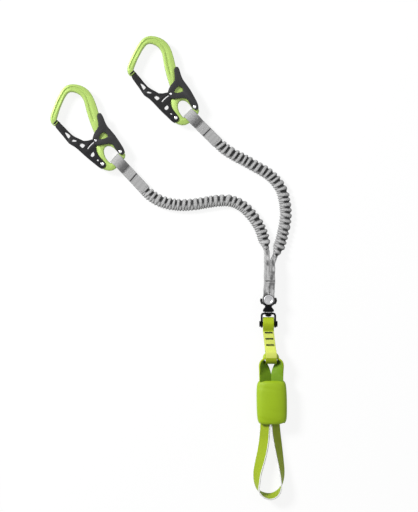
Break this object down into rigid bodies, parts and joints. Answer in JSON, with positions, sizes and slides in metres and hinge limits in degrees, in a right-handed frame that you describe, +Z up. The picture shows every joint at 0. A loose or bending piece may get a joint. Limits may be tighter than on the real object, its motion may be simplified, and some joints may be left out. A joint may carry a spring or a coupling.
{
  "type": "via ferrata lanyard",
  "caption": "Y-shaped climbing lanyard with elastic arms, palm-lever carabiners, a swivel and a pouched energy absorber on a harness loop.",
  "frame": {"origin": "under the middle of the lanyard's box (without the soft arms), on the table plane it lies on", "axes": "+Y from the harness loop towards the carabiners, +Z up from the table, +X to the side of the right arm"},
  "size_m": [0.3452, 0.6622, 0.0274],
  "materials": {
    "lime_anodised_metal": "satin anodised lime green",
    "charcoal_plastic": "fine satin",
    "bright_steel": "polished",
    "gloss_black_metal": "gloss black",
    "black_plastic": "semi-gloss",
    "grey_webbing": "woven",
    "dark_webbing": "woven",
    "elastic_white": "elastic braid",
    "lime_webbing": "woven, white selvedges on the harness loop",
    "dark_thread": "stitching"
  },
  "bodies": {
    "absorber": {"absorber_pouch": "lime_webbing", "absorber_tear_webbing": "dark_webbing", "absorber_upper_loop": "lime_webbing", "harness_loop": "lime_webbing"},
    "sling": {"sling_webbing": "lime_webbing", "sling_stitching": "dark_thread"},
    "shackle": {"shackle": "gloss_black_metal", "shackle_pin": "gloss_black_metal", "shackle_pin_nut": "gloss_black_metal"},
    "yoke": {"swivel_yoke": "gloss_black_metal", "arm_pin": "bright_steel", "arm_pin_nut": "bright_steel", "swivel_axle": "bright_steel", "swivel_axle_nut": "gloss_black_metal", "swivel_washer": "bright_steel"},
    "fork": {"arms_fork_webbing": "grey_webbing", "arms_fork_tack": "dark_webbing", "arms_fork_guard": "black_plastic"},
    "right_arm": {"right_arm_tail": "grey_webbing", "right_arm_sleeve": "grey_webbing", "right_arm_core": "elastic_white", "right_arm_end_loop": "grey_webbing", "right_arm_end_tack": "dark_webbing"},
    "right_carabiner": {"right_carabiner_body": "lime_anodised_metal", "right_gate_rivet": "bright_steel", "right_lever_rivet": "bright_steel", "right_gate_spring": "bright_steel", "right_lever_spring": "bright_steel"},
    "right_lever": {"right_palm_lever": "charcoal_plastic", "right_link_pin": "bright_steel"},
    "right_gate": {"right_gate": "charcoal_plastic"},
    "left_arm": {"left_arm_tail": "grey_webbing", "left_arm_sleeve": "grey_webbing", "left_arm_core": "elastic_white", "left_arm_end_loop": "grey_webbing", "left_arm_end_tack": "dark_webbing"},
    "left_carabiner": {"left_carabiner_body": "lime_anodised_metal", "left_gate_rivet": "bright_steel", "left_lever_rivet": "bright_steel", "left_gate_spring": "bright_steel", "left_lever_spring": "bright_steel"},
    "left_lever": {"left_palm_lever": "charcoal_plastic", "left_link_pin": "bright_steel"},
    "left_gate": {"left_gate": "charcoal_plastic"}
  },
  "joints": [
    {"name": "sling_swing", "type": "hinge", "parent": "absorber", "child": "sling", "pos_m": [0.14624, -0.12487, 0.0131], "axis": [1, 0, 0], "range_deg": [-8, 25]},
    {"name": "shackle_swing", "type": "hinge", "parent": "sling", "child": "shackle", "pos_m": [0.14228, -0.08006, 0.0131], "axis": [1, 0, 0], "range_deg": [-60, 60]},
    {"name": "swivel_turn", "type": "hinge", "parent": "shackle", "child": "yoke", "pos_m": [0.14228, -0.04526, 0.0131], "axis": [0, 1, 0], "continuous": true},
    {"name": "fork_turn", "type": "hinge", "parent": "yoke", "child": "fork", "pos_m": [0.14228, -0.04526, 0.0131], "axis": [0, 0, 1], "range_deg": [-25, 25]},
    {"name": "right_arm_bend", "type": "hinge", "parent": "fork", "child": "right_arm", "pos_m": [0.14758, 0.00124, 0.0131], "axis": [0, 0, 1], "range_deg": [-40, 0]},
    {"name": "right_carabiner_swing", "type": "hinge", "parent": "right_arm", "child": "right_carabiner", "pos_m": [0.03246, 0.21629, 0.0099], "axis": [0.7071, 0.7071, 0], "range_deg": [0, 80]},
    {"name": "right_lever_squeeze", "type": "hinge", "parent": "right_carabiner", "child": "right_lever", "pos_m": [0.03692, 0.22931, 0.0099], "axis": [0, 0, 1], "range_deg": [0, 6.6], "stiffness_Nm_per_rad": 0.6, "springref_deg": -11.46, "deforming": ["right_lever_spring"]},
    {"name": "right_gate_open", "type": "hinge", "parent": "right_carabiner", "child": "right_gate", "pos_m": [0.01033, 0.21387, 0.0099], "axis": [0, 0, 1], "range_deg": [-21, 0], "deforming": ["right_gate_spring"]},
    {"name": "left_arm_bend", "type": "hinge", "parent": "fork", "child": "left_arm", "pos_m": [0.14023, 0.00124, 0.0131], "axis": [0, 0, 1], "range_deg": [0, 40]},
    {"name": "left_carabiner_swing", "type": "hinge", "parent": "left_arm", "child": "left_carabiner", "pos_m": [-0.07222, 0.15222, 0.0099], "axis": [0.6494, 0.7604, 0], "range_deg": [0, 80]},
    {"name": "left_lever_squeeze", "type": "hinge", "parent": "left_carabiner", "child": "left_lever", "pos_m": [-0.06879, 0.16555, 0.0099], "axis": [0, 0, 1], "range_deg": [0, 6.6], "stiffness_Nm_per_rad": 0.6, "springref_deg": -11.46, "deforming": ["left_lever_spring"]},
    {"name": "left_gate_open", "type": "hinge", "parent": "left_carabiner", "child": "left_gate", "pos_m": [-0.09409, 0.14808, 0.0099], "axis": [0, 0, 1], "range_deg": [-21, 0], "deforming": ["left_gate_spring"]}
  ],
  "couplings": [
    {"joint": "right_gate_open", "follows": "right_lever_squeeze", "ratio": -3.1429},
    {"joint": "left_gate_open", "follows": "left_lever_squeeze", "ratio": -3.1429}
  ]
}
